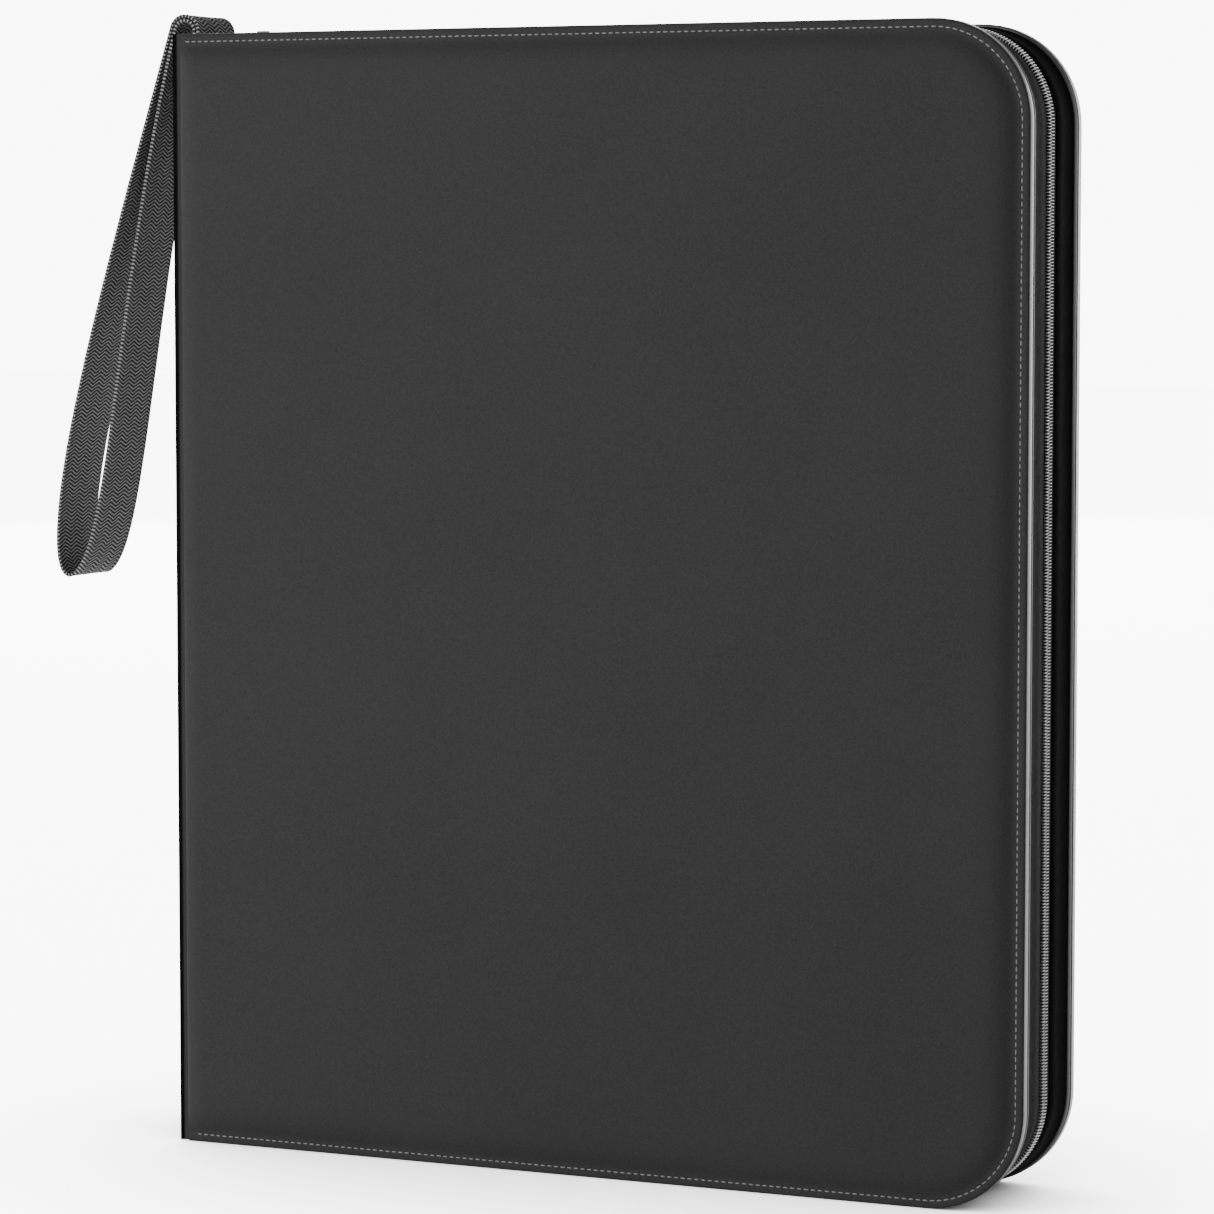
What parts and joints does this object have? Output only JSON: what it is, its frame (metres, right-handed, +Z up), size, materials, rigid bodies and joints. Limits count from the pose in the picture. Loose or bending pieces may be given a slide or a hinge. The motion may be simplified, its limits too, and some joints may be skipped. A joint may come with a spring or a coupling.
{
  "type": "trading card binder",
  "caption": "Zip-round ring binder for trading cards, with padded covers, a wrist strap and pocket sheets hung on a ring spine.",
  "frame": {"origin": "where the spine's flat outer face meets the surface the binder stands on, at mid-thickness", "axes": "+X from the spine to the fore-edge, +Y from the front cover to the rear cover, +Z up"},
  "size_m": [0.3145, 0.0492, 0.3365],
  "materials": {
    "leather": "matt fine-grained polyurethane leather, charcoal",
    "piping": "grey piping",
    "board": "grey-brown pressed board",
    "foam": "soft grey foam sheet",
    "lining": "black woven lining",
    "zip_tape": "black woven zip tape",
    "webbing": "charcoal herringbone webbing",
    "zip_teeth": "satin silver zip teeth",
    "zip_metal": "slate-grey painted zinc",
    "rings": "bright nickel-plated wire",
    "mechanism": "dark painted steel plate",
    "film": "clear film with pale welded ribs",
    "cards": null
  },
  "bodies": {
    "spine": {"spine_skin": "leather", "spine_board": "board", "spine_lining": "lining", "front_hinge": "leather", "rear_hinge": "leather", "spine_end_wall_top": "leather", "spine_end_wall_foot": "leather", "zip_stop_top": "zip_teeth", "zip_stop_foot": "zip_teeth", "ring_cover_plate": "mechanism", "ring_rivets": "rings", "strap_root": "webbing"},
    "front_cover": {"front_skin": "leather", "front_pad": "foam", "front_board": "board", "front_lining": "lining", "front_piping": "piping", "front_side_wall": "leather", "front_zip_tape": "zip_tape", "front_zip_teeth": "zip_teeth"},
    "rear_cover": {"rear_skin": "leather", "rear_pad": "foam", "rear_board": "board", "rear_lining": "lining", "rear_piping": "piping", "rear_side_wall": "leather", "rear_zip_tape": "zip_tape", "rear_zip_teeth": "zip_teeth"},
    "front_rings": {"front_blade": "mechanism", "front_half_rings": "rings"},
    "rear_rings": {"rear_blade": "mechanism", "rear_half_rings": "rings"},
    "strap": {"strap_loop": "webbing"},
    "slider": {"zip_slider": "zip_metal"},
    "pull": {"zip_pull": "zip_metal"},
    "leaf_1": {"sheet_1": "film", "cards_1": "cards"},
    "leaf_2": {"sheet_2": "film", "cards_2": "cards"},
    "leaf_3": {"sheet_3": "film", "cards_3": "cards"},
    "leaf_4": {"sheet_4": "film", "cards_4": "cards"},
    "leaf_5": {"sheet_5": "film", "cards_5": "cards"},
    "leaf_6": {"sheet_6": "film", "cards_6": "cards"}
  },
  "joints": [
    {"name": "front_cover_hinge", "type": "hinge", "parent": "spine", "child": "front_cover", "pos_m": [0, -0.02235, 0], "axis": [0, 0, -1], "range_deg": [0, 90]},
    {"name": "rear_cover_hinge", "type": "hinge", "parent": "spine", "child": "rear_cover", "pos_m": [0, 0.02235, 0], "axis": [0, 0, 1], "range_deg": [0, 90]},
    {"name": "front_rings_open", "type": "hinge", "parent": "spine", "child": "front_rings", "pos_m": [0.0054, 0, 0.165], "axis": [0, 0, -1], "range_deg": [0, 7]},
    {"name": "rear_rings_open", "type": "hinge", "parent": "spine", "child": "rear_rings", "pos_m": [0.0054, 0, 0.165], "axis": [0, 0, 1], "range_deg": [0, 7]},
    {"name": "slider_run", "type": "slide", "parent": "rear_cover", "child": "slider", "axis": [1, 0, 0], "range_m": [0, 0.21]},
    {"name": "pull_swing", "type": "hinge", "parent": "slider", "child": "pull", "pos_m": [0.019, 0, 0.3303], "axis": [0, -1, 0], "range_deg": [0, 110]},
    {"name": "strap_swing", "type": "hinge", "parent": "spine", "child": "strap", "pos_m": [0.00228, 0, 0.33035], "axis": [0, 1, 0], "range_deg": [0, 100]},
    {"name": "leaf_1_turn", "type": "hinge", "parent": "spine", "child": "leaf_1", "pos_m": [0.0192, 0, 0.165], "axis": [0, 0, -1], "range_deg": [0, 79.2]},
    {"name": "leaf_2_turn", "type": "hinge", "parent": "spine", "child": "leaf_2", "pos_m": [0.0192, 0, 0.165], "axis": [0, 0, -1], "range_deg": [0, 64.8]},
    {"name": "leaf_3_turn", "type": "hinge", "parent": "spine", "child": "leaf_3", "pos_m": [0.0192, 0, 0.165], "axis": [0, 0, -1], "range_deg": [0, 49.5]},
    {"name": "leaf_4_turn", "type": "hinge", "parent": "spine", "child": "leaf_4", "pos_m": [0.0192, 0, 0.165], "axis": [0, 0, 1], "range_deg": [0, 49.5]},
    {"name": "leaf_5_turn", "type": "hinge", "parent": "spine", "child": "leaf_5", "pos_m": [0.0192, 0, 0.165], "axis": [0, 0, 1], "range_deg": [0, 64.8]},
    {"name": "leaf_6_turn", "type": "hinge", "parent": "spine", "child": "leaf_6", "pos_m": [0.0192, 0, 0.165], "axis": [0, 0, 1], "range_deg": [0, 79.2]}
  ],
  "couplings": [
    {"joint": "rear_rings_open", "follows": "front_rings_open", "ratio": 1},
    {"joint": "leaf_1_turn", "follows": "front_cover_hinge", "ratio": 0.88},
    {"joint": "leaf_2_turn", "follows": "front_cover_hinge", "ratio": 0.72},
    {"joint": "leaf_3_turn", "follows": "front_cover_hinge", "ratio": 0.55},
    {"joint": "leaf_4_turn", "follows": "rear_cover_hinge", "ratio": 0.55},
    {"joint": "leaf_5_turn", "follows": "rear_cover_hinge", "ratio": 0.72},
    {"joint": "leaf_6_turn", "follows": "rear_cover_hinge", "ratio": 0.88}
  ]
}
